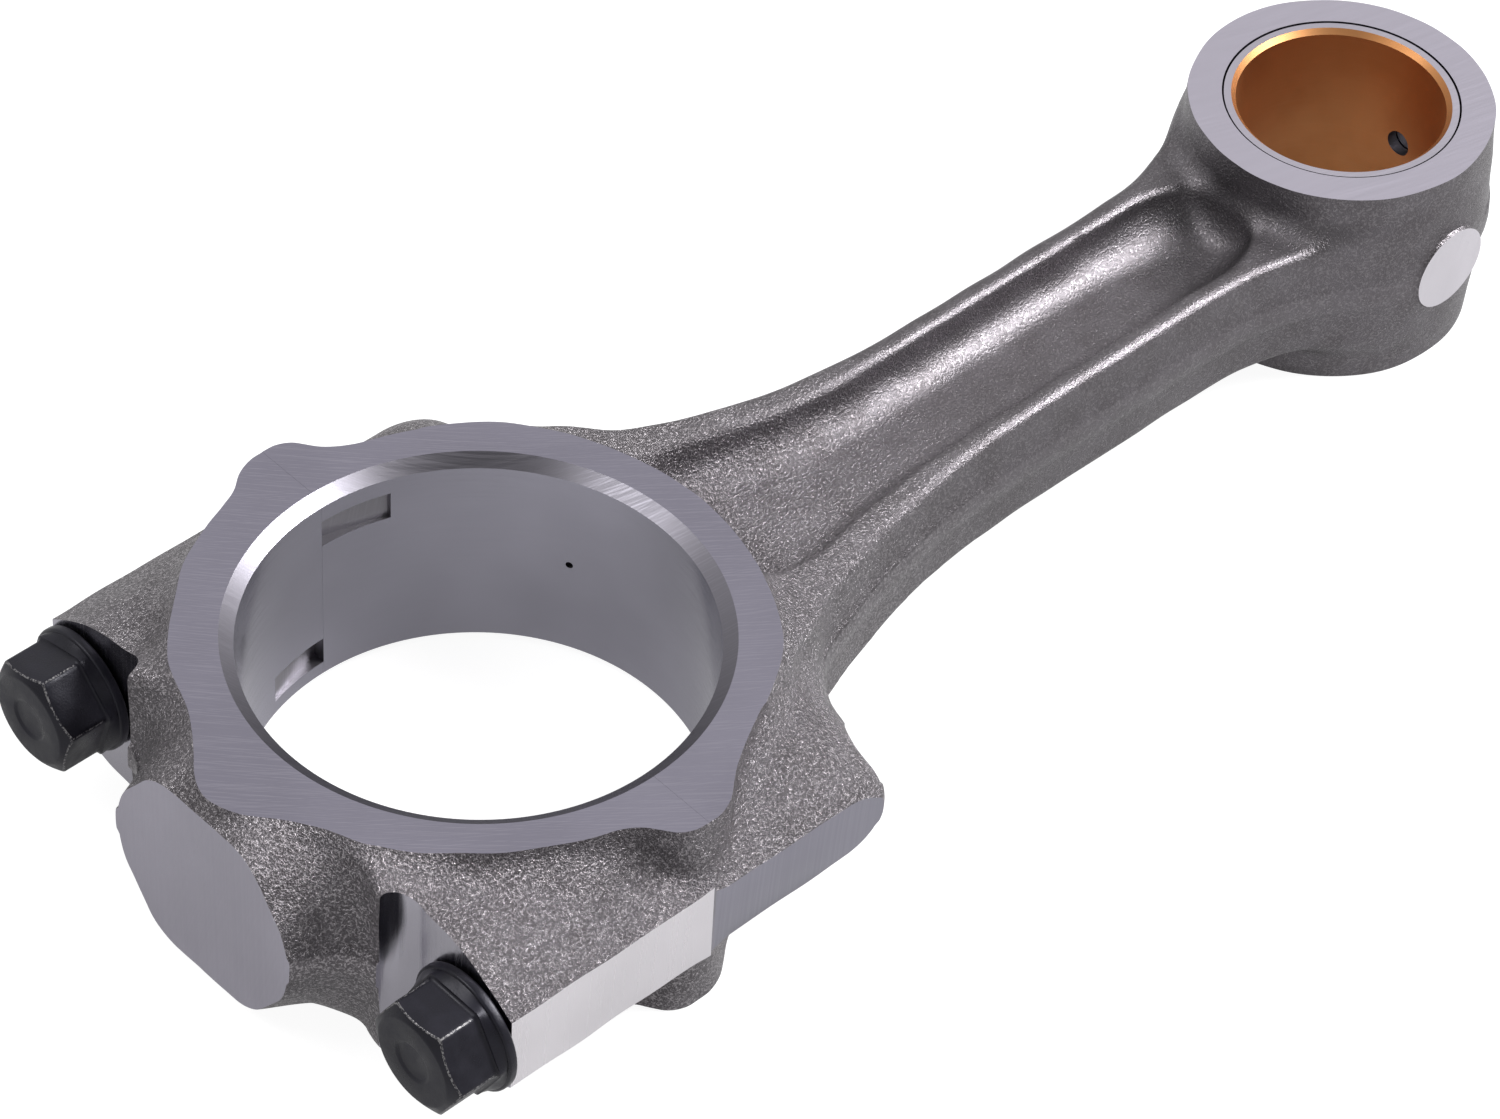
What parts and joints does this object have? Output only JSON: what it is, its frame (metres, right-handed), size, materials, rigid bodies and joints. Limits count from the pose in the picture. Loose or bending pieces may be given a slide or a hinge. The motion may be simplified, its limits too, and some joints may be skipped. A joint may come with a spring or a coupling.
{
  "type": "connecting rod",
  "caption": "Forged engine connecting rod: I-beam shank, split big end with a bolted cap, and a bronze-lined bush in the small end.",
  "frame": {"origin": "middle of the rod's box, at the bottom, where it lies on its lower faces", "axes": "+X from the cap to the small end, +Z along both bores, +Y across the big end"},
  "size_m": [0.1925, 0.0782, 0.028],
  "materials": {
    "forged_steel": "shot-blasted forging, with ground faces, bores and side flats",
    "cap_steel": "shot-blasted forging, with ground faces, end pad, bolt seats and side flats",
    "bush_bronze": "bored bronze lining on a thin steel back",
    "bolt_steel": "black oxide, oiled"
  },
  "bodies": {
    "rod": {"rod_body": "forged_steel", "small_end_bush": "bush_bronze"},
    "cap": {"rod_cap": "cap_steel"},
    "bolt_left": {"bolt_left": "bolt_steel"},
    "bolt_right": {"bolt_right": "bolt_steel"}
  },
  "joints": [
    {"name": "cap_slide", "type": "slide", "parent": "rod", "child": "cap", "axis": [-1, 0, 0], "range_m": [0, 0.04]},
    {"name": "bolt_left_slide", "type": "slide", "parent": "cap", "child": "bolt_left", "axis": [-1, 0, 0], "range_m": [0, 0.055]},
    {"name": "bolt_right_slide", "type": "slide", "parent": "cap", "child": "bolt_right", "axis": [-1, 0, 0], "range_m": [0, 0.055]}
  ]
}
